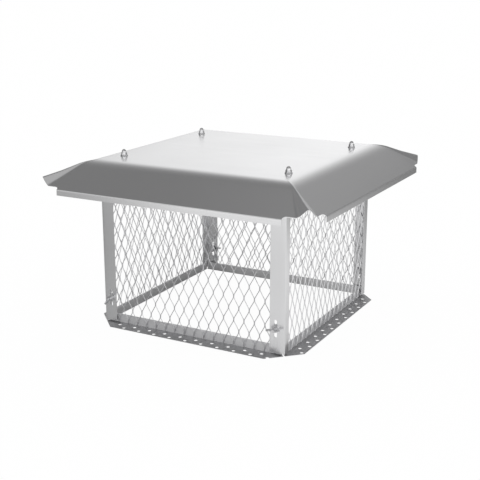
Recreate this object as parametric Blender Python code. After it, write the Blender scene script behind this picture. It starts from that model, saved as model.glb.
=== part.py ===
"""Square stainless chimney cap: a folded lid with pinched corners on four bent posts,
around a cage of expanded metal that stands on perforated base angles."""

from math import acos, asin, atan2, cos, hypot, pi, radians, sin, sqrt

import bmesh
import bpy
from mathutils import Matrix, Vector

# Overall layout, all in metres. The origin is on the ground, in the middle of the cage.
CAGE = 0.432  # across the posts' outer faces, both ways
LID_TOP = 0.357  # top of the lid's flat above the ground
TOUCH = 0.0003  # gap between pieces that bear on each other

# Lid
LID_SHEET = 0.0010
LID_PAST_CAGE = 0.0168  # bend line of the flat outside the posts' faces
LID_SLOPE = radians(31.3)
SLOPE_LENGTH = 0.096  # bend line to rim fold, down the slope
SLOPE_BEND = 0.014  # half of the soft bend between flat and slope
RIM_DROP = 0.0120
RIM_BEND = 0.0016
RIM_PAST_FLAT = 0.0206  # how far the rim runs past the corner of the flat
PINCH_REACH = 0.0995  # corner of the flat to the end of the pinched fold
PINCH_FOOT = radians(30.0)  # where the pinch starts to rise, turned from straight down the slope
FOOT_SOFTNESS = radians(3.0)
CREST_HALF = 0.0030  # half the width of the rounded fold at its end
CREST_SHARE = 0.6  # share of the pinch that the rounded fold may take near the corner
RELIEF_RADIUS = 0.0074  # inner corner between the rim's end and the trimmed edge past it

# Posts, each bent from one strip
STRIP = 0.0508
POST_SHEET = 0.0012
POST_BEND = 0.0024  # outer radius of the bends
LEFT_HAND_LEG = 0.0175  # narrow leg of the two hands of post
RIGHT_HAND_LEG = 0.0215
FOOT_GAP = 0.0030  # posts end this far above the base flange
LEG_SHORT = 0.0050  # legs end this far below the tab's top
SLOT_FROM_EDGE = 0.0130  # slot line to the wide leg's free edge
SLOT_LOW = 0.0370  # slot ends above the ground
SLOT_HIGH = 0.0740
SLOT_WIDTH = 0.0071
LEG_BOLT_HEIGHT = 0.0552
TAB_REACH = 0.0554  # post face to the lid bolt
TAB_PAST_BOLT = 0.0120
TAB_SIDE = 0.0080  # side of the tab inside the narrow leg's face
TAB_CHAMFER = 0.0050
LID_BOLT_IN = 0.0230  # lid bolt inside the narrow leg's face

# Expanded metal, drawn at about twice the real diamond so that a wall keeps few openings
MESH_THICKNESS = 0.0030
MESH_STRAND = 0.0034
CELLS_BETWEEN_BOLTS = 8
CELL_RATIO = 2.06
TIP_UNDER_BOLT = 0.0106  # a leg bolt passes this far above the lower tip of its diamond
MESH_EDGE = 0.0030
MESH_SIDE_GAP = 0.0020  # panel ends stay this far inside the posts' bends
MESH_TOP_GAP = 0.0040  # below the posts' tabs
SMALLEST_OPENING = 0.0040

# Base angles
ANGLE_SHEET = 0.0012
ANGLE_UPRIGHT = 0.0200
FLANGE_PAST_POST = 0.0290
CORNER_GAP = 0.0024  # between each slanted end and the corner's diagonal
HOLE_PITCH = 0.0381
HOLE_RADIUS = 0.0036
INNER_ROW = 0.0088  # outside the posts' faces
ROW_SPACING = 0.0129
HOLE_SHIFT = {"front": -0.0017, "right": 0.0085, "back": -0.0017, "left": 0.0085}

# Quarter-inch fasteners
BOLT_RADIUS = 0.00318
BOLT_FIT = 0.0003
BOLT_PAST_WING = 0.0050
WASHER_RADIUS = 0.0079
WASHER_THICK = 0.0014
NUT_HEX = 0.0111  # across flats, of the cap nuts and the bolt heads
NUT_HEIGHT = 0.0052
CAP_HEIGHT = 0.0122
CAP_WALL = 0.0024
HEAD_HEIGHT = 0.0042
HUB_RADIUS = 0.0058
HUB_TOP_RADIUS = 0.0046
HUB_HEIGHT = 0.0085
WING_SPAN = 0.0310
WING_HEIGHT = 0.0150
WING_THICK = 0.0024
WING_TURN = {"front_left": 60, "front_right": 4, "back_right": 75, "back_left": 3}  # degrees

# Levels worked out from the sizes above
HALF = CAGE / 2
POST_BOTTOM = ANGLE_SHEET + FOOT_GAP
TAB_TOP = LID_TOP - LID_SHEET - TOUCH
POST_INSIDE = HALF - POST_SHEET
MESH_OUTSIDE = POST_INSIDE - TOUCH
MESH_INSIDE = MESH_OUTSIDE - MESH_THICKNESS
UPRIGHT_OUTSIDE = MESH_INSIDE - TOUCH
MESH_BOTTOM = ANGLE_SHEET + TOUCH
MESH_TOP = TAB_TOP - POST_SHEET - MESH_TOP_GAP
TRIM_LENGTH = SLOPE_LENGTH - RIM_BEND - RELIEF_RADIUS  # slope length past the rim's ends
NARROW_LEG = {-1: LEFT_HAND_LEG, 1: RIGHT_HAND_LEG}
CORNERS = {"front_left": (-1, -1), "front_right": (1, -1), "back_right": (1, 1), "back_left": (-1, 1)}
SIDES = {"front": 0, "right": 90, "back": 180, "left": 270}


def clear_scene():
    for thing in list(bpy.data.objects):
        bpy.data.objects.remove(thing)


def metal(name, colour, roughness):
    """A plain metallic material."""
    made = bpy.data.materials.new(name)
    made.use_nodes = True
    shader = made.node_tree.nodes["Principled BSDF"]
    shader.inputs["Base Color"].default_value = (*colour, 1.0)
    shader.inputs["Metallic"].default_value = 1.0
    shader.inputs["Roughness"].default_value = roughness
    return made


def add_object(name, bm, material):
    mesh = bpy.data.meshes.new(name)
    bmesh.ops.recalc_face_normals(bm, faces=bm.faces)
    bm.to_mesh(mesh)
    bm.free()
    mesh.materials.append(material)
    made = bpy.data.objects.new(name, mesh)
    bpy.context.scene.collection.objects.link(made)
    return made


def smooth(thing, angle=30):
    thing.data.shade_smooth()
    thing.data.set_sharp_from_angle(angle=radians(angle))


def combine(thing, bm, name, operation):
    """Adds a shape to an object or takes it out, as a guide object beside it."""
    guide = add_object(name, bm, thing.data.materials[0])
    guide.location = thing.location
    guide.rotation_euler = thing.rotation_euler
    guide.hide_render = True
    guide.display_type = "WIRE"
    step = thing.modifiers.new(name, "BOOLEAN")
    step.object = guide
    step.operation = operation
    step.solver = "EXACT"


def add_prism(bm, outline, direction):
    """A closed prism from a flat outline, pushed along a direction."""
    low = [bm.verts.new(p) for p in outline]
    high = [bm.verts.new(Vector(p) + Vector(direction)) for p in outline]
    bm.faces.new(low)
    bm.faces.new(high[::-1])
    for i, a in enumerate(low):
        j = (i + 1) % len(low)
        bm.faces.new((a, high[i], high[j], low[j]))


def circle(radius, sides):
    return [(radius * cos(2 * pi * k / sides), radius * sin(2 * pi * k / sides)) for k in range(sides)]


def add_drill(bm, centre, radius, depth, sides=12):
    """A vertical cylinder that reaches the same depth above and below its centre."""
    x, y, z = centre
    add_prism(bm, [(x + u, y + v, z - depth) for u, v in circle(radius, sides)], (0, 0, 2 * depth))


def slope_ray(angle):
    """Direction on the front slope, turned from straight down it towards the corner's diagonal."""
    return Vector((sin(angle), -cos(angle) * cos(LID_SLOPE), -cos(angle) * sin(LID_SLOPE)))


def fold_ray():
    """Direction of the pinched fold. The sheet keeps its length around the flat's corner, so the
    fold lies in the diagonal plane at the angle that is left over past the pinch's foot."""
    foot = slope_ray(PINCH_FOOT)
    along = (foot.x - foot.y) / sqrt(2)
    spare = pi / 4 - PINCH_FOOT
    drop = atan2(-foot.z, along) - acos(cos(spare) / hypot(along, foot.z))
    return Vector((cos(drop) / sqrt(2), -cos(drop) / sqrt(2), -sin(drop)))


def mirrored(ray):
    """The same direction on the other side of the corner's diagonal."""
    return Vector((-ray.y, -ray.x, ray.z))


def corner_rays(distance):
    """Directions from the flat's corner across its pinch, from the front slope to the right one.
    The fold keeps one round width, so it opens wider where it is closer to the corner."""
    foot = slope_ray(PINCH_FOOT)
    fold = fold_ray()
    spare = pi / 4 - PINCH_FOOT
    rim_end = atan2(RIM_PAST_FLAT, SLOPE_LENGTH)
    relief_end = atan2(RIM_PAST_FLAT + RELIEF_RADIUS, TRIM_LENGTH)
    half = [slope_ray(a) for a in (0.0, rim_end, relief_end, PINCH_FOOT - FOOT_SOFTNESS)]
    half.append(foot.slerp(fold, FOOT_SOFTNESS / spare))
    crest = min(asin(min(CREST_HALF / distance, 0.5)), spare * CREST_SHARE)
    half.append(foot.slerp(fold, 1 - crest / spare))
    top = ((half[-1] + mirrored(half[-1])).normalized() + fold).normalized()
    return half + [top] + [mirrored(ray) for ray in reversed(half)]


def corner_lengths():
    """Length of each of those columns, from the flat's corner to the rim's fold or the cut edge."""
    rim_end = hypot(SLOPE_LENGTH, RIM_PAST_FLAT)
    relief_end = hypot(TRIM_LENGTH, RIM_PAST_FLAT + RELIEF_RADIUS)
    half = [SLOPE_LENGTH, rim_end, relief_end, TRIM_LENGTH / cos(PINCH_FOOT - FOOT_SOFTNESS)]
    half += [PINCH_REACH, PINCH_REACH]
    return half + [PINCH_REACH] + half[::-1]


def relief_points(corner, turned):
    """The round inner corner between the rim's end and the trimmed edge."""
    points = []
    for step in range(1, 4):
        turn = step * pi / 8
        across = RIM_PAST_FLAT + RELIEF_RADIUS * (1 - cos(turn))
        down = TRIM_LENGTH + RELIEF_RADIUS * (1 - sin(turn))
        ray = slope_ray(atan2(across, down))
        if turned:
            ray = mirrored(ray)
        points.append(corner + ray * hypot(across, down))
    return points


def quadratic(a, b, c, share):
    """A point on the curve from a to c that leaves and arrives towards b."""
    return a * (1 - share) ** 2 + b * (2 * share * (1 - share)) + c * share ** 2


def lid_column(corner, start, ray, far_ray, length):
    """Points from the flat over the soft bend and down to the sheet's edge."""
    end = corner + ray * SLOPE_BEND
    bend = [quadratic(start, corner, end, share) for share in (1 / 3, 2 / 3, 1)]
    return bend + [corner + far_ray * length]


def rim_column(fold_point, ray):
    """Points over the rim's fold and down to its lower edge."""
    before = fold_point - ray * RIM_BEND
    after = fold_point - Vector((0, 0, RIM_BEND))
    return [before, quadratic(before, fold_point, after, 0.5), after, fold_point - Vector((0, 0, RIM_DROP))]


def join_columns(bm, near, far):
    """Faces between two rows of points of the same count, skipping edges that have no length."""
    for a, b, c, d in zip(near, near[1:], far[1:], far):
        corners = [a, b, c, d]
        distinct = [v for i, v in enumerate(corners) if v is not corners[i - 1]]
        if len(distinct) > 2:
            bm.faces.new(distinct)


def lid_corner(bm, turn):
    """One quarter's columns: the last straight one on each side and those across the pinch."""
    half_flat = HALF + LID_PAST_CAGE
    inner = half_flat - SLOPE_BEND
    corner = Vector((half_flat, -half_flat, LID_TOP))
    start = Vector((inner, -inner, LID_TOP))
    start_vert = bm.verts.new(turn @ start)
    down = slope_ray(0.0)
    near = corner_rays(SLOPE_BEND)
    far = corner_rays(PINCH_REACH)
    last = len(far) - 1
    columns = []

    straight = Vector((start.x, -half_flat, LID_TOP))
    plain = lid_column(straight, start, down, down, SLOPE_LENGTH)
    plain = plain[:-1] + rim_column(plain[-1], down)
    columns.append([start_vert] + [bm.verts.new(turn @ p) for p in plain])
    for k, (ray, far_ray, length) in enumerate(zip(near, far, corner_lengths())):
        points = lid_column(corner, start, ray, far_ray, length)
        if min(k, last - k) < 2:
            slope_down = down if k < 2 else mirrored(down)
            points = points[:-1] + rim_column(points[-1], slope_down)
        columns.append([start_vert] + [bm.verts.new(turn @ p) for p in points])
    other = [mirrored(p) for p in plain]
    columns.append([start_vert] + [bm.verts.new(turn @ p) for p in other])
    return start_vert, columns, corner


def fill_corner(bm, columns, corner, turn):
    """Faces between the columns of one corner, with a round relief beside each end of the rim."""
    bend = 4
    for near, far in zip(columns, columns[1:]):
        if len(near) == len(far):
            join_columns(bm, near, far)
            continue
        join_columns(bm, near[:bend], far[:bend])
        turned = len(near) < len(far)
        rim_side, open_side = (far, near) if turned else (near, far)
        relief = [bm.verts.new(turn @ p) for p in relief_points(corner, turned)]
        bm.faces.new([rim_side[bend - 1], rim_side[bend]] + relief + [open_side[bend], open_side[bend - 1]])


def give_thickness(bm):
    """Turns the sheet into a solid: square to the surface at the rim and straight down elsewhere."""
    bmesh.ops.recalc_face_normals(bm, faces=bm.faces)
    if sum(face.normal.z * face.calc_area() for face in bm.faces) < 0:
        bmesh.ops.reverse_faces(bm, faces=bm.faces)
    bm.normal_update()
    rim_level = LID_TOP - (SLOPE_LENGTH - RIM_BEND) * sin(LID_SLOPE) + TOUCH / 100
    flat_level = LID_TOP - TOUCH / 100
    below = {}
    for vert in bm.verts:
        if vert.co.z < rim_level:
            below[vert] = vert.co - vert.normal * LID_SHEET * vert.calc_shell_factor()
        elif vert.co.z > flat_level:
            below[vert] = vert.co - Vector((0, 0, LID_SHEET))
        else:
            below[vert] = vert.co - Vector((0, 0, LID_SHEET / cos(LID_SLOPE)))
    edges = [edge for edge in bm.edges if edge.is_boundary]
    faces = list(bm.faces)
    twins = {vert: bm.verts.new(place) for vert, place in below.items()}
    for face in faces:
        bm.faces.new([twins[v] for v in reversed(face.verts)])
    for edge in edges:
        a, b = edge.verts
        bm.faces.new((a, b, twins[b], twins[a]))


def add_lid(material):
    """One folded sheet, with a hole for each lid bolt."""
    bm = bmesh.new()
    quarters = []
    for side in range(4):
        turn = Matrix.Rotation(side * pi / 2, 3, "Z")
        start, columns, corner = lid_corner(bm, turn)
        fill_corner(bm, columns, corner, turn)
        quarters.append((start, columns))
    bm.faces.new([start for start, columns in quarters])
    for (start, columns), (next_start, next_columns) in zip(quarters, quarters[1:] + quarters[:1]):
        join_columns(bm, columns[-1], next_columns[0])
    give_thickness(bm)
    lid = add_object("lid", bm, material)
    drills = bmesh.new()
    for x, y in lid_bolt_places().values():
        add_drill(drills, (x, y, LID_TOP), BOLT_RADIUS + BOLT_FIT, LID_SHEET * 3)
    combine(lid, drills, "lid_drills", "DIFFERENCE")
    smooth(lid)


def wide_leg(name):
    sx, sy = CORNERS[name]
    return STRIP - NARROW_LEG[sx * sy]


def lid_bolt_places():
    return {name: (sx * (HALF - LID_BOLT_IN), sy * (HALF - TAB_REACH)) for name, (sx, sy) in CORNERS.items()}


def leg_bolt_in(name):
    """Leg bolt's distance from the cage's side face."""
    return wide_leg(name) - SLOT_FROM_EDGE


def add_post(name, material):
    """One bent strip. Its mesh is measured inwards from the cage's corner, along X and Y."""
    sx, sy = CORNERS[name]
    wide = wide_leg(name)
    narrow = STRIP - wide
    bm = bmesh.new()

    def place(a, b, z):
        return bm.verts.new((-sx * a, -sy * b, z))

    arc = [(POST_BEND * (1 - sin(t)), POST_BEND * (1 - cos(t))) for t in (0, pi / 6, pi / 3, pi / 2)]
    line = [(wide, 0.0), (TAB_SIDE, 0.0)] + arc + [(0.0, narrow)]
    low = [place(a, b, POST_BOTTOM) for a, b in line]
    high = [place(a, b, TAB_TOP - LEG_SHORT) for a, b in line]
    for i in range(len(line) - 1):
        bm.faces.new((low[i], low[i + 1], high[i + 1], high[i]))
    rows = [(high[0], high[1])]
    for t in (0, pi / 6, pi / 3, pi / 2):
        b, z = POST_BEND * (1 - cos(t)), TAB_TOP - POST_BEND * (1 - sin(t))
        rows.append((place(wide, b, z), place(TAB_SIDE, b, z)))
    for near, far in zip(rows, rows[1:]):
        bm.faces.new((near[0], near[1], far[1], far[0]))
    end = TAB_REACH + TAB_PAST_BOLT
    tip = [place(TAB_SIDE, end - TAB_CHAMFER, TAB_TOP), place(TAB_SIDE + TAB_CHAMFER, end, TAB_TOP)]
    tip += [place(wide - TAB_CHAMFER, end, TAB_TOP), place(wide, end - TAB_CHAMFER, TAB_TOP)]
    bm.faces.new([rows[-1][0], rows[-1][1]] + tip)
    post = add_object("post_" + name, bm, material)
    face_outwards(post, Vector((0, sy, 0)))
    post.location = (sx * HALF, sy * HALF, 0)
    sheet = post.modifiers.new("sheet", "SOLIDIFY")
    sheet.thickness = POST_SHEET
    sheet.offset = -1
    sheet.use_even_offset = True
    cuts = bmesh.new()
    bolt = wide - SLOT_FROM_EDGE
    half_slot = SLOT_WIDTH / 2
    ends = [(SLOT_HIGH - half_slot, 0), (SLOT_LOW + half_slot, pi)]
    outline = []
    for z, begin in ends:
        for k in range(6):
            turn = begin + pi * k / 5
            outline.append((-sx * (bolt + half_slot * cos(turn)), sy * POST_SHEET, z + half_slot * sin(turn)))
    add_prism(cuts, outline, (0, -sy * POST_SHEET * 3, 0))
    add_drill(cuts, (-sx * LID_BOLT_IN, -sy * TAB_REACH, TAB_TOP), BOLT_RADIUS + BOLT_FIT, POST_SHEET * 2)
    combine(post, cuts, "cuts_" + name, "DIFFERENCE")
    smooth(post)


def face_outwards(thing, direction):
    """Turns a sheet's faces round if its largest face looks away from a direction."""
    largest = max(thing.data.polygons, key=lambda face: face.area)
    if largest.normal.dot(direction) < 0:
        thing.data.flip_normals()


def clipped(outline, axis, limit, sign):
    """The part of a convex outline on one side of a line across an axis."""
    kept = []
    for a, b in zip(outline, outline[1:] + outline[:1]):
        ahead = sign * (limit - a[axis])
        after = sign * (limit - b[axis])
        if ahead > 0:
            kept.append(a)
        if ahead * after < 0:
            share = ahead / (ahead - after)
            kept.append((a[0] + (b[0] - a[0]) * share, a[1] + (b[1] - a[1]) * share))
    return kept


def mesh_openings(half_width):
    """Rhombic openings of a panel, cut off where they meet its edges."""
    bolts = (-(HALF - leg_bolt_in("front_left")), HALF - leg_bolt_in("front_right"))
    pitch = (bolts[1] - bolts[0]) / CELLS_BETWEEN_BOLTS
    tall = pitch * CELL_RATIO
    inset = MESH_STRAND / 2 * hypot(pitch, tall) / pitch
    half_tall = tall / 2 - inset
    half_wide = half_tall / CELL_RATIO
    first = LEG_BOLT_HEIGHT - TIP_UNDER_BOLT + half_tall
    low, high = MESH_BOTTOM + MESH_EDGE, MESH_TOP - MESH_EDGE
    side = half_width - MESH_EDGE
    for row in range(-3, int((high - first) / tall * 2) + 3):
        z = first + row * tall / 2
        for k in range(-2, CELLS_BETWEEN_BOLTS + 3):
            x = bolts[0] + pitch * (k + (row % 2) / 2)
            outline = [(x - half_wide, z), (x, z - half_tall), (x + half_wide, z), (x, z + half_tall)]
            for axis, limit, sign in ((0, side, 1), (0, -side, -1), (1, high, 1), (1, low, -1)):
                outline = clipped(outline, axis, limit, sign)
            if len(outline) < 3:
                continue
            spans = [max(p[axis] for p in outline) - min(p[axis] for p in outline) for axis in (0, 1)]
            if min(spans) > SMALLEST_OPENING:
                yield outline


def add_mesh_panel(side, half_width, material):
    """A flat panel of expanded metal, standing inside the posts."""
    bm = bmesh.new()
    outer = [(-half_width, MESH_BOTTOM), (half_width, MESH_BOTTOM)]
    outer += [(half_width, MESH_TOP), (-half_width, MESH_TOP)]
    edges = []
    for outline in [outer] + list(mesh_openings(half_width)):
        loop = [bm.verts.new((x, -MESH_OUTSIDE, z)) for x, z in outline]
        edges += [bm.edges.new((a, b)) for a, b in zip(loop, loop[1:] + loop[:1])]
    bmesh.ops.triangle_fill(bm, use_beauty=True, edges=edges)
    sheet = bmesh.ops.extrude_face_region(bm, geom=bm.faces[:], use_keep_orig=True)
    moved = [item for item in sheet["geom"] if isinstance(item, bmesh.types.BMVert)]
    bmesh.ops.translate(bm, vec=(0, MESH_THICKNESS, 0), verts=moved)
    panel = add_object("mesh_" + side, bm, material)
    panel.rotation_euler.z = radians(SIDES[side])


def hole_places(side):
    """Centres of the flange's holes on one base angle, in two rows half a pitch apart."""
    for row, outside in enumerate((INNER_ROW, INNER_ROW + ROW_SPACING)):
        reach = HALF - CORNER_GAP - outside - (TOUCH if row else HOLE_RADIUS)
        start = HOLE_SHIFT[side] + HOLE_PITCH * (1 + row) / 2
        for k in range(-int(CAGE / HOLE_PITCH), int(CAGE / HOLE_PITCH) + 1):
            x = start + k * HOLE_PITCH
            if abs(x) < reach:
                yield x, -(HALF + outside)


def add_base_angle(side, material):
    """An angle with its flange outwards, ends slanted so that two of them leave an open V."""
    bm = bmesh.new()
    inside = UPRIGHT_OUTSIDE - ANGLE_SHEET
    flange_end = HALF + FLANGE_PAST_POST
    widest = HALF - CORNER_GAP

    def section(end):
        """The outline at one end, each point pushed out to the slanted cut."""
        points = []
        for y, z in ((inside, 0), (flange_end, 0), (flange_end, ANGLE_SHEET), (UPRIGHT_OUTSIDE, ANGLE_SHEET),
                     (UPRIGHT_OUTSIDE, ANGLE_UPRIGHT), (inside, ANGLE_UPRIGHT)):
            x = widest - abs(y - HALF)
            points.append(bm.verts.new((end * x, -y, z)))
        return points

    def shoulder(end):
        """Where the flange is widest, in line with the posts' faces."""
        return [bm.verts.new((end * widest, -HALF, z)) for z in (0, ANGLE_SHEET)]

    left, right = section(-1), section(1)
    left_wide, right_wide = shoulder(-1), shoulder(1)
    for points, wide in ((left, left_wide), (right, right_wide)):
        bm.faces.new([points[0], wide[0], wide[1], points[3], points[4], points[5]])
        bm.faces.new([wide[0], points[1], points[2], wide[1]])
    bm.faces.new([left[0], left_wide[0], left[1], right[1], right_wide[0], right[0]])
    bm.faces.new([left[2], left_wide[1], left[3], right[3], right_wide[1], right[2]])
    for a, b in ((1, 2), (3, 4), (4, 5), (5, 0)):
        bm.faces.new([left[a], left[b], right[b], right[a]])
    angle = add_object("base_angle_" + side, bm, material)
    angle.rotation_euler.z = radians(SIDES[side])
    drills = bmesh.new()
    for x, y in hole_places(side):
        add_drill(drills, (x, y, 0), HOLE_RADIUS, ANGLE_SHEET * 3, sides=6)
    combine(angle, drills, "drills_" + side, "DIFFERENCE")


def add_ring_stack(bm, rings, bore):
    """A turned or hexagonal body from rings of 12 points, with a round bore of one depth."""
    bore_radius, bore_low, bore_high = bore
    outer = [[bm.verts.new((x, y, z)) for x, y in points] for points, z in rings]
    inner = [[bm.verts.new((x, y, z)) for x, y in circle(bore_radius, 12)] for z in (bore_high, bore_low)]
    loops = outer + inner
    for near, far in zip(loops, loops[1:] + loops[:1]):
        if near is inner[0] or far is not inner[0] or bore_high >= rings[-1][1]:
            for k in range(12):
                j = (k + 1) % 12
                bm.faces.new((near[k], near[j], far[j], far[k]))
    if bore_high < rings[-1][1]:
        bm.faces.new(outer[-1])
        bm.faces.new(inner[0])


def hexagon(across):
    """A hexagon as 12 points, its corners and the middles of its sides."""
    points = []
    for k in range(12):
        radius = across / 2 if k % 2 else across / 2 / cos(pi / 6)
        points.append((radius * cos(k * pi / 6), radius * sin(k * pi / 6)))
    return points


def stand(thing, place, out):
    """Puts a fastener at its place, with its own Z turned to the direction it points out in."""
    thing.location = place
    if out != "up":
        thing.rotation_euler.x = radians(90 if out == "front" else -90)


def add_washer(name, place, out, seat, material):
    bm = bmesh.new()
    rings = [(circle(WASHER_RADIUS, 12), seat), (circle(WASHER_RADIUS, 12), seat + WASHER_THICK)]
    add_ring_stack(bm, rings, (BOLT_RADIUS + BOLT_FIT, seat, seat + WASHER_THICK))
    washer = add_object(name, bm, material)
    stand(washer, place, out)
    smooth(washer, 40)


def add_bolt(name, place, out, seat, tip, material):
    """A hexagon head below its seat and a plain shank up to the tip."""
    bm = bmesh.new()
    shank = circle(BOLT_RADIUS, 12)
    levels = [(hexagon(NUT_HEX), seat - HEAD_HEIGHT), (hexagon(NUT_HEX), seat), (shank, seat), (shank, tip)]
    loops = [[bm.verts.new((x, y, z)) for x, y in points] for points, z in levels]
    for near, far in zip(loops, loops[1:]):
        for k in range(12):
            j = (k + 1) % 12
            bm.faces.new((near[k], near[j], far[j], far[k]))
    bm.faces.new(loops[0][::-1])
    bm.faces.new(loops[-1])
    bolt = add_object(name, bm, material)
    stand(bolt, place, out)
    smooth(bolt, 40)


def add_cap_nut(name, place, material):
    """A hexagon nut closed by a dome."""
    seat = 2 * TOUCH + WASHER_THICK
    bm = bmesh.new()
    dome = CAP_HEIGHT - NUT_HEIGHT
    rings = [(hexagon(NUT_HEX), seat), (hexagon(NUT_HEX), seat + NUT_HEIGHT)]
    for t in (pi / 8, pi / 4, 3 * pi / 8):
        rings.append((circle(NUT_HEX / 2 * cos(t) * 1.02, 12), seat + NUT_HEIGHT + dome * sin(t)))
    rings.append((circle(NUT_HEX * 0.07, 12), seat + CAP_HEIGHT))
    add_ring_stack(bm, rings, (BOLT_RADIUS + BOLT_FIT, seat, seat + CAP_HEIGHT - CAP_WALL))
    nut = add_object(name, bm, material)
    stand(nut, place, "up")
    smooth(nut, 40)


def add_wing_nut(name, place, out, turn, material):
    """A tapered hub with two upswept wings."""
    seat = 2 * TOUCH + WASHER_THICK
    bm = bmesh.new()
    loops = []
    for radius, z in ((HUB_RADIUS, seat), (HUB_TOP_RADIUS, seat + HUB_HEIGHT)):
        loops.append([bm.verts.new((x, y, z)) for x, y in circle(radius, 12)])
    for k in range(12):
        bm.faces.new((loops[0][k], loops[0][(k + 1) % 12], loops[1][(k + 1) % 12], loops[1][k]))
    bm.faces.new(loops[0][::-1])
    bm.faces.new(loops[1])
    nut = add_object(name, bm, material)
    stand(nut, place, out)
    wings = bmesh.new()
    across = Matrix.Rotation(radians(turn), 3, "Z")
    lobe = (WING_SPAN - HUB_TOP_RADIUS) / 5
    middle = (WING_SPAN / 2 - lobe, seat + WING_HEIGHT - lobe)
    for sign in (-1, 1):
        outline = [(0, seat + HUB_HEIGHT * 0.15), (HUB_RADIUS * 0.9, seat + HUB_HEIGHT * 0.15)]
        for t in (-pi / 5, pi / 6, pi / 2, 5 * pi / 6):
            outline.append((middle[0] + lobe * cos(t), middle[1] + lobe * sin(t)))
        outline += [(HUB_TOP_RADIUS * 0.8, seat + HUB_HEIGHT * 0.9), (0, seat + HUB_HEIGHT * 0.9)]
        base = [across @ Vector((sign * a, -WING_THICK / 2, z)) for a, z in outline]
        add_prism(wings, base, across @ Vector((0, WING_THICK, 0)))
    bmesh.ops.remove_doubles(wings, verts=wings.verts, dist=1e-6)
    inside = {v for v in wings.verts if hypot(v.co.x, v.co.y) < WING_THICK * 0.6}
    middles = [face for face in wings.faces if inside.issuperset(face.verts)]
    bmesh.ops.delete(wings, geom=middles, context="FACES_ONLY")
    combine(nut, wings, "wings_" + name, "UNION")
    bore = bmesh.new()
    add_drill(bore, (0, 0, seat + HUB_HEIGHT / 2), BOLT_RADIUS + BOLT_FIT, WING_HEIGHT)
    combine(nut, bore, "bore_" + name, "DIFFERENCE")
    smooth(nut, 40)


def add_lid_fasteners(name, steel, chrome):
    """Bolt from below the tab, washer and cap nut on the lid."""
    x, y = lid_bolt_places()[name]
    place = (x, y, LID_TOP)
    seat = TAB_TOP - POST_SHEET - TOUCH - LID_TOP
    tip = 2 * TOUCH + WASHER_THICK + CAP_HEIGHT - CAP_WALL - BOLT_RADIUS / 2
    add_bolt("lid_bolt_" + name, place, "up", seat, tip, steel)
    add_washer("lid_washer_" + name, place, "up", TOUCH, steel)
    add_cap_nut("cap_nut_" + name, place, chrome)


def add_leg_fasteners(name, steel):
    """Bolt from inside the cage, a washer on the mesh, another on the post and a wing nut."""
    sx, sy = CORNERS[name]
    place = (sx * (HALF - leg_bolt_in(name)), sy * HALF, LEG_BOLT_HEIGHT)
    out = "front" if sy < 0 else "back"
    inner = MESH_INSIDE - HALF - TOUCH - WASHER_THICK
    tip = 2 * TOUCH + WASHER_THICK + HUB_HEIGHT + BOLT_PAST_WING
    add_bolt("leg_bolt_" + name, place, out, inner - TOUCH, tip, steel)
    add_washer("mesh_washer_" + name, place, out, inner, steel)
    add_washer("leg_washer_" + name, place, out, TOUCH, steel)
    add_wing_nut("wing_nut_" + name, place, out, WING_TURN[name], steel)


def main():
    clear_scene()
    sheet_steel = metal("stainless_sheet", (0.72, 0.72, 0.73), 0.34)
    mesh_steel = metal("expanded_stainless", (0.66, 0.66, 0.67), 0.38)
    fastener_steel = metal("fastener_steel", (0.60, 0.60, 0.61), 0.28)
    bright_steel = metal("polished_steel", (0.80, 0.80, 0.81), 0.12)
    add_lid(sheet_steel)
    for name in CORNERS:
        add_post(name, sheet_steel)
        add_lid_fasteners(name, fastener_steel, bright_steel)
        add_leg_fasteners(name, fastener_steel)
    for side in SIDES:
        add_base_angle(side, sheet_steel)
        wide = MESH_OUTSIDE - MESH_SIDE_GAP if side in ("front", "back") else MESH_INSIDE - TOUCH
        add_mesh_panel(side, wide, mesh_steel)


main()
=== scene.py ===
"""Looks of the stainless chimney cap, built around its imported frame."""

from math import acos, asin, atan2, cos, hypot, pi, radians, sin, sqrt, tan

import bmesh
import bpy
from mathutils import Matrix, Vector


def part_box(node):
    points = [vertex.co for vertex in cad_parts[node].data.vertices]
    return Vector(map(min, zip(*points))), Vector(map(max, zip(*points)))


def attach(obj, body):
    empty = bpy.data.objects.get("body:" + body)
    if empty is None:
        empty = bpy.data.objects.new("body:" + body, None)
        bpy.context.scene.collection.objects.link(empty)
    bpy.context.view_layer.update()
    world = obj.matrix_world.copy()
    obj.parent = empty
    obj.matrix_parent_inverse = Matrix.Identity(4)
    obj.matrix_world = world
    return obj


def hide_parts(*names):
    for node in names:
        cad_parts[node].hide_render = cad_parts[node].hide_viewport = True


bl_info = {
    "name": "Chimney cap dressing",
    "version": (1, 0, 0),
    "blender": (4, 5, 0),
    "location": "View3D > Sidebar > Chimney cap",
    "description": "Folded lid, posts, expanded mesh, base angles and fasteners of a square chimney cap",
    "category": "Object",
}

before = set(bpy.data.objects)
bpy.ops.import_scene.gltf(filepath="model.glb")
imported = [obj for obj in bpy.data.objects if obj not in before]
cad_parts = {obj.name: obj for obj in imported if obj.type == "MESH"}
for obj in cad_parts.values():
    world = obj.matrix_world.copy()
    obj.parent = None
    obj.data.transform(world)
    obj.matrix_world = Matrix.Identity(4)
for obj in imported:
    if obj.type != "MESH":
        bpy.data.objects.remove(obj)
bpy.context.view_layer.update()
SIDES = {"front": 0, "right": 90, "back": 180, "left": 270}
CORNERS = {"front_left": (-1, -1), "front_right": (1, -1), "back_right": (1, 1), "back_left": (-1, 1)}
FIT = 0.0003  # gap between pieces that bear on each other
NEAR = 1e-5  # a point this close to a line or level counts as on it
HAIR = 1e-6  # the same, for points on a bend line of the thinnest sheet
BAR_SIDES = 24
DRILL_DEPTH = 0.01
FACING_FRONT = (pi / 2, 0, 0)  # lays an upright bar or a flat sheet over
X, Y, Z = (1, 0, 0), (0, 1, 0), (0, 0, 1)


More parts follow.
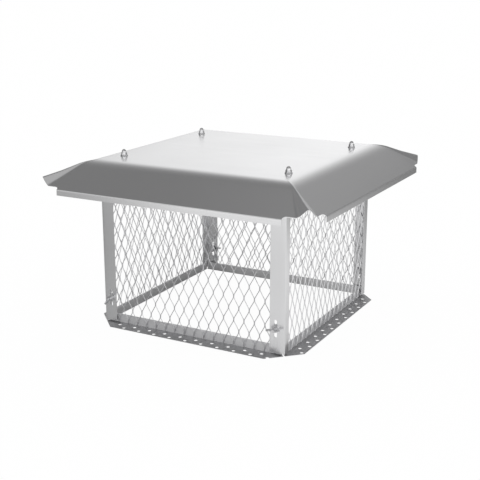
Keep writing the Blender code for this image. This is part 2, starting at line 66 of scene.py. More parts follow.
def low(node):
    return Vector(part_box(node)[0])


def high(node):
    return Vector(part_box(node)[1])


def centre(node):
    return (low(node) + high(node)) / 2


# Sizes read from the frame, in metres
HALF = high("post_front_right").x
GROUND = low("base_angle_front").z
LID_TOP = low("lid_washer_front_left").z - FIT
RIM_HALF = high("lid").x
POST_LOW = low("post_front_right").z
TAB_TOP = high("post_front_right").z
MESH_LOW = low("mesh_front").z
MESH_HIGH = high("mesh_front").z


# Small helpers

def linear(code):
    """An sRGB hex colour such as C8C9CB as linear red, green, blue and alpha."""
    values = [int(code[i:i + 2], 16) / 255 for i in (0, 2, 4)]
    return tuple(v / 12.92 if v <= 0.04045 else ((v + 0.055) / 1.055) ** 2.4 for v in values) + (1.0,)


def grey(level):
    return (level, level, level, 1.0)


def metres(name, description, default):
    return bpy.props.FloatProperty(name=name, description=description, default=default, precision=5,
                                   unit="LENGTH")


def angle_in_degrees(name, description, default):
    return bpy.props.FloatProperty(name=name, description=description, default=radians(default),
                                   subtype="ANGLE")


def plain_number(name, description, default):
    return bpy.props.FloatProperty(name=name, description=description, default=default)


def hex_tone(name, description, default):
    return bpy.props.StringProperty(name=name, description=description + ", sRGB hex", default=default)


def add_node(tree, kind, inputs=None, **settings):
    """Adds a shader node, sets its properties, and sets or links its inputs by name or number."""
    made = tree.nodes.new("ShaderNode" + kind)
    for name, value in settings.items():
        setattr(made, name, value)
    for name, value in (inputs or {}).items():
        if isinstance(value, bpy.types.NodeSocket):
            tree.links.new(value, made.inputs[name])
        else:
            made.inputs[name].default_value = value
    return made


def select_none():
    bpy.ops.object.select_all(action="DESELECT")


def select_only(thing):
    select_none()
    thing.select_set(True)
    bpy.context.view_layer.objects.active = thing


def edit(thing):
    """Opens edit mode with all of the piece selected."""
    select_only(thing)
    bpy.ops.object.mode_set(mode="EDIT")
    bpy.ops.mesh.select_all(action="SELECT")


def leave_edit():
    bpy.ops.object.mode_set(mode="OBJECT")


def choose(thing, kind, test):
    """In edit mode, selects only the vertices, edges or faces that pass a test."""
    bpy.ops.mesh.select_mode(type=kind)
    bpy.ops.mesh.select_all(action="DESELECT")
    bm = bmesh.from_edit_mesh(thing.data)
    items = {"VERT": bm.verts, "EDGE": bm.edges, "FACE": bm.faces}[kind]
    count = 0
    for item in items:
        if test(item):
            item.select_set(True)
            count += 1
    bm.select_flush_mode()
    bmesh.update_edit_mesh(thing.data)
    if not count:
        raise RuntimeError("nothing selected on " + thing.name)


def finish_modifier(thing, kind, **settings):
    """Adds a modifier with its settings and applies it."""
    select_only(thing)
    made = thing.modifiers.new(kind.lower(), kind)
    for name, value in settings.items():
        setattr(made, name, value)
    bpy.ops.object.modifier_apply(modifier=made.name)


def smooth_by_angle(thing, angle=32):
    select_only(thing)
    bpy.ops.object.shade_smooth_by_angle(angle=radians(angle))


def set_origin(thing):
    """Puts the object at the origin, unturned, with its place in its mesh."""
    select_only(thing)
    bpy.ops.object.transform_apply(location=True, rotation=True, scale=True)


def dress(thing, material, nodes):
    """Gives a piece its finish and lets it stand for its CAD nodes."""
    set_origin(thing)
    thing.data.materials.clear()
    thing.data.materials.append(material)
    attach(thing, "root")
    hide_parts(*nodes)


def copy_piece(thing, name):
    """A copy with a mesh of its own."""
    select_only(thing)
    bpy.ops.object.duplicate(linked=False)
    made = bpy.context.object
    made.name = name
    made.data.name = name
    return made


def turn_piece(thing, angle):
    """Turns a piece about the cage's upright axis."""
    thing.rotation_euler.z = radians(angle)
    set_origin(thing)


def face_outwards(thing):
    """Turns all faces of a piece to one side, which is the outside where it is closed."""
    edit(thing)
    bpy.ops.mesh.normals_make_consistent(inside=False)
    leave_edit()


def round_bar(radius, depth, place, turn=(0, 0, 0)):
    """A round bar to drill with or to shape further."""
    select_none()
    bpy.ops.mesh.primitive_cylinder_add(vertices=BAR_SIDES, radius=radius, depth=depth, location=place,
                                        rotation=turn)
    return bpy.context.object


def combine(thing, other, operation="UNION"):
    """Joins a piece with another, or cuts or trims it by the other, which is used up."""
    finish_modifier(thing, "BOOLEAN", object=other, operation=operation, solver="EXACT")
    bpy.data.objects.remove(other)


def cut(thing, cutter):
    combine(thing, cutter, "DIFFERENCE")


def repeat(thing, count, step, **merging):
    """Repeats a piece, each copy one step from the last."""
    finish_modifier(thing, "ARRAY", count=count, use_relative_offset=False, use_constant_offset=True,
                    constant_offset_displace=step, **merging)


# Finishes

# Lengths of the patterns' features along X, Y and Z, in millimetres. Rolling and tool lines are under
# 0.1 mm wide on the real metal, too fine for the render, and are drawn as coarse as they need to show.
LID_GRAIN = (333.33, 1.1111, 1.1111)
POST_GRAIN = (1.42857, 1.42857, 333.33)
ANGLE_GRAIN = (333.33, 1.42857, 1.42857)
SMUDGES = (200, 200, 200)
SHEET_WAVES = (142.857, 142.857, 142.857)
# Mottle of the painted shade on the flanges
FLANGE_MOTTLE = (3.84615, 3.84615, 3.84615)
STRETCH_LINES = (1.1111, 1.1111, 16.6667)
TOOL_LINES = (0.66667, 0.66667, 0.66667)
STAINS = (4.54545, 4.54545, 4.54545)
FINGERPRINTS = (2.5, 2.5, 2.5)
SHEET_SPAN = (0.1, 0.45)  # values of grain times smudges between which sheet goes from dark to light
STAIN_SPAN = (0.3, 0.7)
PRINT_SPAN = (0.3, 0.6)
LEAST_FLANGE_SHADE = 0.72  # share of the flange's painted shade tone, where the mottle gives least of it
# Roughness at the two ends of a pattern
STRAND_BLUR = (0.42, 0.34)
FASTENER_BLUR = (0.34, 0.48)
POLISHED_BLUR = (0.16, 0.08)


def pattern(tree, lengths, detail):
    """Noise on Object coordinates, with features of these lengths in millimetres along each axis."""
    place = add_node(tree, "TexCoord")
    scaled = add_node(tree, "Mapping", {"Vector": place.outputs["Object"],
                                        "Scale": [1000 / length for length in lengths]})
    noise = add_node(tree, "TexNoise", {"Vector": scaled.outputs["Vector"], "Scale": 1.0, "Detail": detail})
    return noise.outputs["Fac"]


def bare_metal(name):
    """A new metal finish, with its node tree and its shader."""
    made = bpy.data.materials.new(name)
    made.use_nodes = True
    shader = made.node_tree.nodes["Principled BSDF"]
    shader.inputs["Metallic"].default_value = 1.0
    return made, made.node_tree, shader


def vary(tree, shader, value, tones, span, roughness, rough_span=(0.0, 1.0)):
    """Lets a pattern take a finish from one tone and roughness to another. Gives back its colour."""
    ramp = add_node(tree, "ValToRGB", {"Fac": value})
    for stop, position, tone in zip(ramp.color_ramp.elements, span, tones):
        stop.position = position
        stop.color = linear(tone)
    tree.links.new(ramp.outputs["Color"], shader.inputs["Base Color"])
    blur = add_node(tree, "MapRange", {"Value": value, "From Min": rough_span[0], "From Max": rough_span[1],
                                       "To Min": roughness[0], "To Max": roughness[1]})
    tree.links.new(blur.outputs["Result"], shader.inputs["Roughness"])
    return ramp.outputs["Color"]


def sheet_steel(name, look, grain_lengths, shade_below_height=None):
    """Mill-finish stainless sheet, cold rolled and lightly brushed: the eye reads soft, slightly
    streaky reflections, faint handling smudges and a surface that is never quite flat."""
    made, tree, shader = bare_metal(name)
    grain = pattern(tree, grain_lengths, 4.0)
    both = add_node(tree, "Math", {0: grain, 1: pattern(tree, SMUDGES, 2.0)},
                    operation="MULTIPLY").outputs["Value"]
    blurs = (look.roughness + look.roughness_spread, look.roughness - look.roughness_spread)
    colour = vary(tree, shader, both, (look.dark_tone, look.light_tone), SHEET_SPAN, blurs, SHEET_SPAN)
    # Below a height, painted shade darkens the colour, for flanges in the shade of the lid and cage
    if shade_below_height is not None:
        paint_flange_shade(tree, shader, colour, shade_below_height, look.flange_shade_tone)
    broad = add_node(tree, "Bump", {"Height": pattern(tree, SHEET_WAVES, 1.0), "Strength": 1.0,
                                    "Distance": look.waviness})
    fine = add_node(tree, "Bump", {"Height": grain, "Normal": broad.outputs["Normal"], "Strength": 1.0,
                                   "Distance": look.grain_depth})
    tree.links.new(fine.outputs["Normal"], shader.inputs["Normal"])
    return made


def paint_flange_shade(tree, shader, colour, level, flange_shade_tone):
    """Painted shade: a darker tone below a height, mottled by noise, for a flange in the shade of the lid and
    cage.
    """
    place = add_node(tree, "TexCoord")
    height = add_node(tree, "SeparateXYZ", {"Vector": place.outputs["Object"]})
    below = add_node(tree, "Math", {0: height.outputs["Z"], 1: level}, operation="LESS_THAN")
    mottle = add_node(tree, "MapRange", {"Value": pattern(tree, FLANGE_MOTTLE, 3.0),
                                         "From Min": STAIN_SPAN[0], "From Max": STAIN_SPAN[1],
                                         "To Min": LEAST_FLANGE_SHADE})
    share = add_node(tree, "Math", {0: below.outputs["Value"], 1: mottle.outputs["Result"]},
                     operation="MULTIPLY")
    mixed = add_node(tree, "Mix", {"Factor": share.outputs["Value"], "A": colour, "B": linear(flange_shade_tone)},
                     data_type="RGBA")
    tree.links.new(mixed.outputs["Result"], shader.inputs["Base Color"])


class SheetLook(bpy.types.PropertyGroup):
    dark_tone: hex_tone("Dark tone", "Darkest reflection colour", "F0F0F1")
    light_tone: hex_tone("Light tone", "Lightest reflection colour", "F6F6F7")
    roughness: plain_number("Roughness", "Blur of the reflections", 0.24)
    roughness_spread: plain_number("Roughness spread", "How far smudges change it", 0.03)
    waviness: metres("Waviness", "Depth of the broad waves", 0.00012)
    grain_depth: metres("Grain depth", "Depth of the rolled grain", 0.000003)


class AngleLook(bpy.types.PropertyGroup):
    # Flange tone: painted shade, mixed over the flanges below a height, where the lid and cage shade them
    flange_shade_tone: hex_tone("Flange tone", "Tone of the flanges", "B2B2B4")
    dark_tone: hex_tone("Dark tone", "Darkest reflection colour", "F2F2F3")
    light_tone: hex_tone("Light tone", "Lightest reflection colour", "FAFAFB")
    roughness: plain_number("Roughness", "Blur of the reflections", 0.52)
    roughness_spread: plain_number("Roughness spread", "How far smudges change it", 0.03)
    waviness: metres("Waviness", "Depth of the broad waves", 0.0002)
    grain_depth: metres("Grain depth", "Depth of the rolled grain", 0.000015)


# Lid

class LidSizes(bpy.types.PropertyGroup):
    sheet: metres("Sheet", "Thickness of the sheet", 0.001)
    slope: angle_in_degrees("Slope", "Fall of the four slopes", 31.3)
    slope_length: metres("Slope length", "Bend line to rim fold", 0.096)
    soft_bend: metres("Soft bend", "Half of the bend under the flat", 0.022)
    rim_drop: metres("Rim drop", "Height of the turned-down rim", 0.012)
    rim_bend: metres("Rim bend", "The rim's fold on the slope", 0.0012)
    rim_turn: metres("Rim turn", "The rim's fold on its face", 0.0032)
    rim_past: metres("Rim past flat", "Rim's run past the flat's corner", 0.0206)
    reach: metres("Pinch reach", "Flat's corner to the fold's end", 0.0995)
    foot: angle_in_degrees("Pinch foot", "Where the pinch starts to rise", 30)
    foot_soft: angle_in_degrees("Foot softness", "Half of the curve at the foot", 4)
    crest: metres("Crest", "Half the width of the rounded fold", 0.009)
    relief: metres("Relief", "Inner corner beside the rim's end", 0.0074)
    hole: metres("Hole", "Radius of the bolt holes", 0.0036)


# Rows of points along a column of the lid's mesh, and columns beside the rim's end
BEND_ROWS = 10
SLOPE_ROWS = 8
FOLD_ROWS = 8
RIM_COLUMNS = 5
RELIEF_COLUMNS = 8
LAST_SLOPE_ROW = 0.97  # share of a column's length, short of the rim's fold
CREST_SHARE = 0.6  # share of the pinch that the rounded fold may take near the flat's corner
WIDEST_CREST = 0.5  # sine of the rounded fold's widest half angle


def slope_ray(angle, slope):
    """Direction on the front slope, turned from straight down it towards the corner's diagonal."""
    return Vector((sin(angle), -cos(angle) * cos(slope), -cos(angle) * sin(slope)))


def fold_ray(lid):
    """Direction of the pinched fold, which keeps the sheet's length around the flat's corner."""
    foot = slope_ray(lid.foot, lid.slope)
    along = (foot.x - foot.y) / sqrt(2)
    drop = atan2(-foot.z, along) - acos(cos(pi / 4 - lid.foot) / hypot(along, foot.z))
    return Vector((cos(drop) / sqrt(2), -cos(drop) / sqrt(2), -sin(drop)))


def mirrored(ray):
    """The same place on the other side of the corner's diagonal."""
    return Vector((-ray.y, -ray.x, ray.z))


def blend(a, b, c, share):
    """A point on the curve from a to c that leaves and arrives towards b."""
    return a * (1 - share) ** 2 + b * (2 * share * (1 - share)) + c * share ** 2


def corner_ray(lid, angle, distance):
    """Direction across one half of a pinch: up to the foot it lies on the slope, then it rises to
    the rounded fold. The angle runs from 0, straight down the slope, to 45 degrees at the crest."""
    spare = pi / 4 - lid.foot
    soft = lid.foot_soft
    crest = min(asin(min(lid.crest / distance, WIDEST_CREST)), spare * CREST_SHARE)
    foot = slope_ray(lid.foot, lid.slope)
    fold = fold_ray(lid)
    rise_from = lid.foot + soft
    rise_to = pi / 4 - crest
    if angle <= lid.foot - soft:
        return slope_ray(angle, lid.slope)
    if angle < rise_from:
        before = slope_ray(lid.foot - soft, lid.slope)
        after = foot.slerp(fold, min(soft / spare, 1.0))
        return blend(before, foot, after, (angle - lid.foot + soft) / (2 * soft)).normalized()
    if angle <= rise_to:
        return foot.slerp(fold, (angle - lid.foot) / spare)
    side = foot.slerp(fold, 1 - crest / spare)
    return blend(side, fold, mirrored(side), 0.5 * (angle - rise_to) / crest).normalized()


def corner_angles(lid):
    """Bearings of the columns across half a pinch, with each column's length to the rim's fold or
    to the trimmed edge, which starts with a round relief beside the rim's end."""
    trim = lid.slope_length - lid.rim_bend - lid.relief
    rim_end = atan2(lid.rim_past, lid.slope_length)
    rows = []
    for k in range(RIM_COLUMNS + 1):
        angle = rim_end * k / RIM_COLUMNS
        rows.append((angle, lid.slope_length / cos(angle), True))
    for k in range(1, RELIEF_COLUMNS + 1):
        turn = k / RELIEF_COLUMNS * pi / 2
        across = lid.rim_past + lid.relief * (1 - cos(turn))
        down = trim + lid.relief * (1 - sin(turn))
        rows.append((atan2(across, down), hypot(across, down), False))
    crest = asin(lid.crest / lid.reach)
    # Each stop is a bearing with the number of columns that lead up to it
    stops = [(rows[-1][0], 0), (lid.foot - lid.foot_soft, 7), (lid.foot + lid.foot_soft, 10)]
    stops += [(pi / 4 - crest, 4), (pi / 4, 6)]
    for (before, _), (after, steps) in zip(stops, stops[1:]):
        for k in range(1, steps + 1):
            angle = before + (after - before) * k / steps
            rows.append((angle, min(trim / cos(angle), lid.reach), False))
    return rows


def lid_column(lid, start, corner, angle, length, has_rim):
    """Points from the flat over the soft bend, down the slope and over the rim's fold."""
    bend_end = corner + corner_ray(lid, angle, lid.soft_bend) * lid.soft_bend
    points = [blend(start, corner, bend_end, k / BEND_ROWS) for k in range(1, BEND_ROWS + 1)]
    for k in range(1, SLOPE_ROWS + 1):
        down = lid.soft_bend + (length * LAST_SLOPE_ROW - lid.soft_bend) * k / SLOPE_ROWS
        points.append(corner + corner_ray(lid, angle, down) * down)
    if has_rim:
        return points + rim_points(lid, corner + slope_ray(angle, lid.slope) * length)
    return points + [corner + corner_ray(lid, angle, length) * length]


def rim_points(lid, fold):
    """Points over the rim's fold and down to its cut edge."""
    down = slope_ray(0.0, lid.slope)
    before = fold - down * lid.rim_bend
    after = fold - Vector((0, 0, lid.rim_turn))
    points = [blend(before, fold, after, k / FOLD_ROWS) for k in range(FOLD_ROWS + 1)]
    return points + [fold - Vector((0, 0, lid.rim_drop))]


def join_columns(bm, near, far):
    """Faces between two rows of points, for as many rows as both have."""
    for corners in zip(near, near[1:], far[1:], far):
        distinct = [v for i, v in enumerate(corners) if v is not corners[i - 1]]
        if len(distinct) > 2:
            bm.faces.new(distinct)


def lid_quarter(bm, lid, turn):
    """Columns of one corner, from the straight part of one slope to that of the next."""
    half_flat = RIM_HALF - lid.slope_length * cos(lid.slope)
    inner = half_flat - lid.soft_bend
    corner = Vector((half_flat, -half_flat, LID_TOP))
    start = Vector((inner, -inner, LID_TOP))
    straight = Vector((inner, -half_flat, LID_TOP))
    half = [lid_column(lid, start, straight, 0.0, lid.slope_length, True)]
    for angle, length, has_rim in corner_angles(lid):
        half.append(lid_column(lid, start, corner, angle, length, has_rim))
    both = half + [[mirrored(p) for p in column] for column in reversed(half[:-1])]
    start_vert = bm.verts.new(turn @ start)
    return [[start_vert] + [bm.verts.new(turn @ p) for p in column] for column in both]


def thicken_lid(bm, lid):
    """Closes the sheet with its under side: square to it at the rim and straight down elsewhere."""
    bmesh.ops.recalc_face_normals(bm, faces=bm.faces)
    if sum(face.normal.z * face.calc_area() for face in bm.faces) < 0:
        bmesh.ops.reverse_faces(bm, faces=bm.faces)
    bm.normal_update()
    rim_level = LID_TOP - (lid.slope_length - lid.rim_bend) * sin(lid.slope) + HAIR
    below = {}
    for vert in bm.verts:
        level = (LID_TOP - vert.co.z) / (lid.soft_bend * sin(lid.slope))
        depth = lid.sheet / cos(lid.slope * min(max(level, 0.0), 1.0))
        if vert.co.z < rim_level:
            below[vert] = vert.co - vert.normal * lid.sheet * vert.calc_shell_factor()
        else:
            below[vert] = vert.co - Vector((0, 0, depth))
    edges = [edge for edge in bm.edges if edge.is_boundary]
    faces = list(bm.faces)
    twins = {vert: bm.verts.new(place) for vert, place in below.items()}
    for face in faces:
        bm.faces.new([twins[v] for v in reversed(face.verts)])
    for edge in edges:
        a, b = edge.verts
        bm.faces.new((a, b, twins[b], twins[a]))
    bmesh.ops.recalc_face_normals(bm, faces=bm.faces)


class CAP_OT_lid(bpy.types.Operator):
    """The folded lid. Its pinched corners follow a folding rule that no primitive can be drawn out
    to, so its mesh is laid out point by point"""
    bl_idname = "cap.lid"
    bl_label = "Lid"

    def execute(self, context):
        lid = context.scene.cap_lid
        bm = bmesh.new()
        quarters = [lid_quarter(bm, lid, Matrix.Rotation(k * pi / 2, 3, "Z")) for k in range(4)]
        for columns in quarters:
            for near, far in zip(columns, columns[1:]):
                join_columns(bm, near, far)
        for columns, following in zip(quarters, quarters[1:] + quarters[:1]):
            join_columns(bm, columns[-1], following[0])
        bm.faces.new([columns[0][0] for columns in quarters])
        thicken_lid(bm, lid)
        mesh = bpy.data.meshes.new("lid_sheet")
        bm.to_mesh(mesh)
        bm.free()
        thing = bpy.data.objects.new("lid_sheet", mesh)
        context.scene.collection.objects.link(thing)
        for name in CORNERS:
            bolt = centre("lid_bolt_" + name)
            cut(thing, round_bar(lid.hole, DRILL_DEPTH, (bolt.x, bolt.y, LID_TOP)))
        smooth_by_angle(thing, 35)
        finish = sheet_steel("mill_finish_lid", context.scene.cap_sheet_look, LID_GRAIN)
        dress(thing, finish, ["lid"])
        return {"FINISHED"}


# Posts

class PostSizes(bpy.types.PropertyGroup):
    sheet: metres("Sheet", "Thickness of the strip", 0.0012)
    bend: metres("Bend", "Outer radius of the bends", 0.0024)
    leg_short: metres("Leg short", "Legs end this far below the tab", 0.005)
    strip: metres("Strip", "Width of the strip before bending", 0.0508)
    slot_edge: metres("Slot edge", "Wide leg's edge to the slot", 0.013)
    slot_low: metres("Slot low", "Lower end of the slot", 0.037)
    slot_high: metres("Slot high", "Upper end of the slot", 0.074)
    slot_width: metres("Slot width", "Width of the slot", 0.0066)
    tab_side: metres("Tab side", "Corner to the tab's side", 0.008)
    tab_chamfer: metres("Tab chamfer", "Cut at the tab's end corners", 0.005)
    tab_hole: metres("Tab hole", "Radius of the bolt hole", 0.0035)


def upright_sheet(name, x0, x1, z0, z1, y=0.0):
    """A flat rectangle that faces the front."""
    select_none()
    bpy.ops.mesh.primitive_plane_add(size=1, location=((x0 + x1) / 2, y, (z0 + z1) / 2),
                                     rotation=FACING_FRONT)
    sheet = bpy.context.object
    sheet.name = name
    sheet.scale = (x1 - x0, z1 - z0, 1)
    set_origin(sheet)
    return sheet


def choose_edges(thing, test):
    """Selects the edges whose ends both lie where a test on a place says."""
    choose(thing, "EDGE", lambda edge: all(test(vert.co) for vert in edge.verts))


def pull(thing, test, move):
    """Extrudes the chosen edges by a distance."""
    choose_edges(thing, test)
    bpy.ops.mesh.extrude_region_move(TRANSFORM_OT_translate={"value": move})


def round_edges(thing, test, radius, segments):
    """Rounds the chosen edges of a sheet."""
    choose_edges(thing, test)
    bpy.ops.mesh.bevel(offset=radius, segments=segments, affect="EDGES")


def slot_cutter(x, z0, z1, width):
    """A round-ended cutter that reaches through the wide leg."""
    cutter = round_bar(width / 2, DRILL_DEPTH, (x, 0, z0 + width / 2), FACING_FRONT)
    set_origin(cutter)
    edit(cutter)
    choose(cutter, "VERT", lambda v: v.co.z > z0 + width / 2 + NEAR)
    bpy.ops.transform.translate(value=(0, 0, z1 - z0 - width))
    leave_edit()
    return cutter


def post_piece(post, name):
    """One bent strip, drawn from the cage's corner inwards and then put in its own corner."""
    node = "post_" + name
    sx, sy = CORNERS[name]
    wide = high(node).x - low(node).x
    narrow = post.strip - wide
    tab_end = high(node).y - low(node).y
    leg_top = TAB_TOP - post.leg_short
    thing = upright_sheet("bent_" + node, 0, wide, POST_LOW, leg_top)
    edit(thing)
    bpy.ops.mesh.bisect(plane_co=(post.tab_side, 0, 0), plane_no=(1, 0, 0))
    pull(thing, lambda p: abs(p.x) < NEAR, (0, narrow, 0))
    pull(thing, lambda p: p.z > leg_top - NEAR and p.x > post.tab_side - NEAR, (0, 0, post.leg_short))
    pull(thing, lambda p: p.z > TAB_TOP - NEAR, (0, tab_end, 0))
    round_edges(thing, lambda p: abs(p.x) + abs(p.y) < NEAR, post.bend, 6)
    round_edges(thing, lambda p: p.z > TAB_TOP - NEAR and abs(p.y) < NEAR, post.bend, 6)
    choose(thing, "VERT", lambda v: v.co.y > tab_end - NEAR)
    bpy.ops.mesh.bevel(offset=post.tab_chamfer, segments=1, affect="VERTICES")
    leave_edit()
    thing.location = (sx * HALF, sy * HALF, 0)
    thing.scale = (-sx, -sy, 1)
    set_origin(thing)
    face_outwards(thing)
    # The drawn faces are the outer ones, and the sheet's thickness goes inwards from them
    largest = max(thing.data.polygons, key=lambda face: face.area)
    if largest.normal.y * sy < 0:
        edit(thing)
        bpy.ops.mesh.flip_normals()
        leave_edit()
    finish_modifier(thing, "SOLIDIFY", thickness=post.sheet, offset=-1, use_even_offset=True)
    cutter = slot_cutter(sx * (HALF - wide + post.slot_edge), post.slot_low, post.slot_high, post.slot_width)
    cutter.location.y = sy * HALF
    set_origin(cutter)
    cut(thing, cutter)
    bolt = centre("lid_bolt_" + name)
    cut(thing, round_bar(post.tab_hole, DRILL_DEPTH, (bolt.x, bolt.y, TAB_TOP)))
    smooth_by_angle(thing)
    return thing


class CAP_OT_posts(bpy.types.Operator):
    """Four posts, each bent from one strip with a tab under the lid and a height slot"""
    bl_idname = "cap.posts"
    bl_label = "Posts"

    def execute(self, context):
        finish = sheet_steel("mill_finish_posts", context.scene.cap_sheet_look, POST_GRAIN)
        for name in CORNERS:
            dress(post_piece(context.scene.cap_post, name), finish, ["post_" + name])
        return {"FINISHED"}


# Base angles

class AngleSizes(bpy.types.PropertyGroup):
    sheet: metres("Sheet", "Thickness of the angle", 0.0008)
    bend: metres("Bend", "Inner radius of the bend", 0.0006)
    end_gap: metres("End gap", "Slanted end to the corner's diagonal", 0.0024)
    pitch: metres("Hole pitch", "Hole to hole in a row", 0.0381)
    hole: metres("Hole", "Radius of a hole", 0.0038)
    inner_row: metres("Inner row", "Posts' faces to the inner row", 0.0088)
    row_spacing: metres("Row spacing", "Between the two rows", 0.0129)


# How far each angle's hole rows are shifted along it, read from the outside
HOLE_SHIFT = {"front": -0.0017, "right": 0.0085, "back": -0.0017, "left": 0.0085}


def hole_cutter(angle, side):
    """Drills for the two staggered rows of holes."""
    drills = []
    widest = HALF - angle.end_gap
    for row in (0, 1):
        outside = angle.inner_row + row * angle.row_spacing
        reach = widest - outside - (FIT if row else angle.hole)
        start = HOLE_SHIFT[side] + angle.pitch * (1 + row) / 2
        first = start - angle.pitch * int((start + reach) / angle.pitch)
        count = int((reach - first) / angle.pitch) + 1
        drill = round_bar(angle.hole, DRILL_DEPTH, (first, -HALF - outside, GROUND))
        set_origin(drill)
        repeat(drill, count, (angle.pitch, 0, 0))
        drills.append(drill)
    select_none()
    for drill in drills:
        drill.select_set(True)
    bpy.context.view_layer.objects.active = drills[0]
    bpy.ops.object.join()
    return drills[0]


def angle_piece(angle, side):
    """An angle with its flange outwards, its ends slanted and its two rows of holes."""
    node = "base_angle_front"
    face = -high(node).y
    top = high(node).z
    reach = -low(node).y
    widest = HALF - angle.end_gap
    bottom = GROUND + angle.sheet
    outside = face + angle.sheet
    ends = widest - abs(outside - HALF)
    thing = upright_sheet("perforated_angle_" + side, -ends, ends, bottom, top, -outside)
    edit(thing)
    for start, stop in ((outside, HALF), (HALF, reach)):
        pull(thing, lambda p: p.z < bottom + HAIR and p.y < NEAR - start, (0, start - stop, 0))
        choose(thing, "VERT", lambda v: v.co.y < NEAR - stop and v.co.z < bottom + HAIR)
        share = (widest - abs(stop - HALF)) / (widest - abs(start - HALF))
        bpy.ops.transform.resize(value=(share, 1, 1), center_override=(0, 0, 0))
    round_edges(thing, lambda p: abs(p.y + outside) < HAIR and p.z < bottom + HAIR, angle.bend, 4)
    leave_edit()
    face_outwards(thing)
    upright = max(thing.data.polygons, key=lambda poly: poly.center.z)
    finish_modifier(thing, "SOLIDIFY", thickness=angle.sheet, offset=-1 if upright.normal.y < 0 else 1,
                    use_even_offset=True)
    cut(thing, hole_cutter(angle, side))
    face_outwards(thing)
    smooth_by_angle(thing)
    turn_piece(thing, SIDES[side])
    return thing


class CAP_OT_angles(bpy.types.Operator):
    """Four perforated base angles"""
    bl_idname = "cap.angles"
    bl_label = "Base angles"

    def execute(self, context):
        angle = context.scene.cap_angle
        # Below this height the angles' flanges get painted shade
        finish = sheet_steel("mill_finish_angles", context.scene.cap_angle_look, ANGLE_GRAIN,
                             GROUND + angle.sheet + FIT)
        for side in SIDES:
            dress(angle_piece(angle, side), finish, ["base_angle_" + side])
        return {"FINISHED"}


# Mesh panels

class MeshSizes(bpy.types.PropertyGroup):
    across: metres("Short way", "Bond to bond across", 0.0235)
    tall: metres("Long way", "Bond to bond upwards", 0.0496)
    bond: metres("Bond", "Length of an uncut bond", 0.0045)
    strand: metres("Strand", "Width of a strand", 0.0015)
    sheet: metres("Sheet", "Thickness of the stretched sheet", 0.0009)
    tilt: angle_in_degrees("Tilt", "Turn of the bonds out of the panel", 27)
    middle: metres("Middle", "Cage's axis to the middle of a panel", 0.2130)
    side_gap: metres("Side gap", "Trim at the panel's sides", 0.0003)


# A bond of each panel as its distance along the panel and its height, read from the outside
MESH_PHASE = {"front": (0.1589, 0.0323), "right": (0.0, 0.0323), "back": (0.004, 0.0323),
              "left": (0.0, 0.0323)}
MERGED = 1e-5  # strands' points closer than this are one point
ASIDE = 5  # placed points wait this far up, so that they aren't chosen again


class MeshLook(bpy.types.PropertyGroup):
    dark_tone: hex_tone("Dark tone", "Darkest tone of the strands", "F0F0F2")
    light_tone: hex_tone("Light tone", "Lightest tone of the strands", "FAFAFB")


def strand_rows(mesh):
    """Height and share of the way across, for one strand from a bond to the next and back. A strand
    runs straight at its middle and bends upright near the bonds."""
    lean = ((0.0, 0.0), (0.1, 0.06), (0.5, 0.5), (0.9, 0.94), (1.0, 1.0))
    run = mesh.tall / 2 - mesh.bond
    rows = [(-mesh.bond / 2, 0.0)]
    rows += [(mesh.bond / 2 + run * up, over) for up, over in lean]
    rows += [(mesh.tall / 2 + mesh.bond / 2 + run * up, 1 - over) for up, over in lean]
    return rows


def one_strand(mesh):
    """A ribbon of two edges that weaves from one column of bonds to the next and back."""
    rows = strand_rows(mesh)
    select_none()
    bpy.ops.mesh.primitive_grid_add(x_subdivisions=1, y_subdivisions=len(rows) - 1, size=1,
                                    rotation=FACING_FRONT)
    strand = bpy.context.object
    set_origin(strand)
    edit(strand)
    wide = mesh.strand * cos(mesh.tilt)
    deep = mesh.strand * sin(mesh.tilt)
    for k, (height, over) in enumerate(rows):
        level = k / (len(rows) - 1) - 0.5
        for side in (-0.5, 0.5):
            choose(strand, "VERT", lambda v: (v.co - Vector((side, 0, level))).length < NEAR / 2)
            x = over * (mesh.across / 2 - wide) + wide * (side + 0.5)
            y = (over - (side + 0.5)) * deep
            bpy.ops.transform.translate(value=(x - side, y, ASIDE + height - level))
    bpy.ops.mesh.select_all(action="SELECT")
    bpy.ops.transform.translate(value=(0, 0, -ASIDE))
    leave_edit()
    return strand


def trim(thing, place, normal):
    """Cuts a piece at a plane and clears what lies beyond it."""
    edit(thing)
    bpy.ops.mesh.bisect(plane_co=place, plane_no=normal, clear_outer=True)
    leave_edit()


def mesh_panel(mesh, side, phase, half_width):
    """A panel of raised expanded metal, from one strand that is repeated and trimmed."""
    panel = one_strand(mesh)
    panel.name = "expanded_metal_" + side
    columns = int(2 * half_width / mesh.across) + 3
    rows = int((MESH_HIGH - MESH_LOW) / mesh.tall) + 3
    repeats = (((mesh.across / 2, 0, mesh.tall / 2), 2), ((mesh.across, 0, 0), columns),
               ((0, 0, mesh.tall), rows))
    for step, count in repeats:
        repeat(panel, count, step, use_merge_vertices=True, merge_threshold=MERGED)
    start_x, start_z = phase
    left = start_x - mesh.across * (1 + int((start_x + half_width) / mesh.across))
    below = start_z - mesh.tall * (1 + int((start_z - MESH_LOW) / mesh.tall))
    edit(panel)
    bpy.ops.mesh.remove_doubles(threshold=MERGED)
    bpy.ops.transform.translate(value=(left, -mesh.middle, below))
    leave_edit()
    trim(panel, (half_width - mesh.side_gap, 0, 0), (1, 0, 0))
    trim(panel, (mesh.side_gap - half_width, 0, 0), (-1, 0, 0))
    trim(panel, (0, 0, MESH_HIGH - mesh.side_gap), (0, 0, 1))
    trim(panel, (0, 0, MESH_LOW + mesh.side_gap), (0, 0, -1))
    finish_modifier(panel, "SOLIDIFY", thickness=mesh.sheet, offset=0, use_even_offset=True)
    face_outwards(panel)
    smooth_by_angle(panel, 40)
    turn_piece(panel, SIDES[side])
    return panel


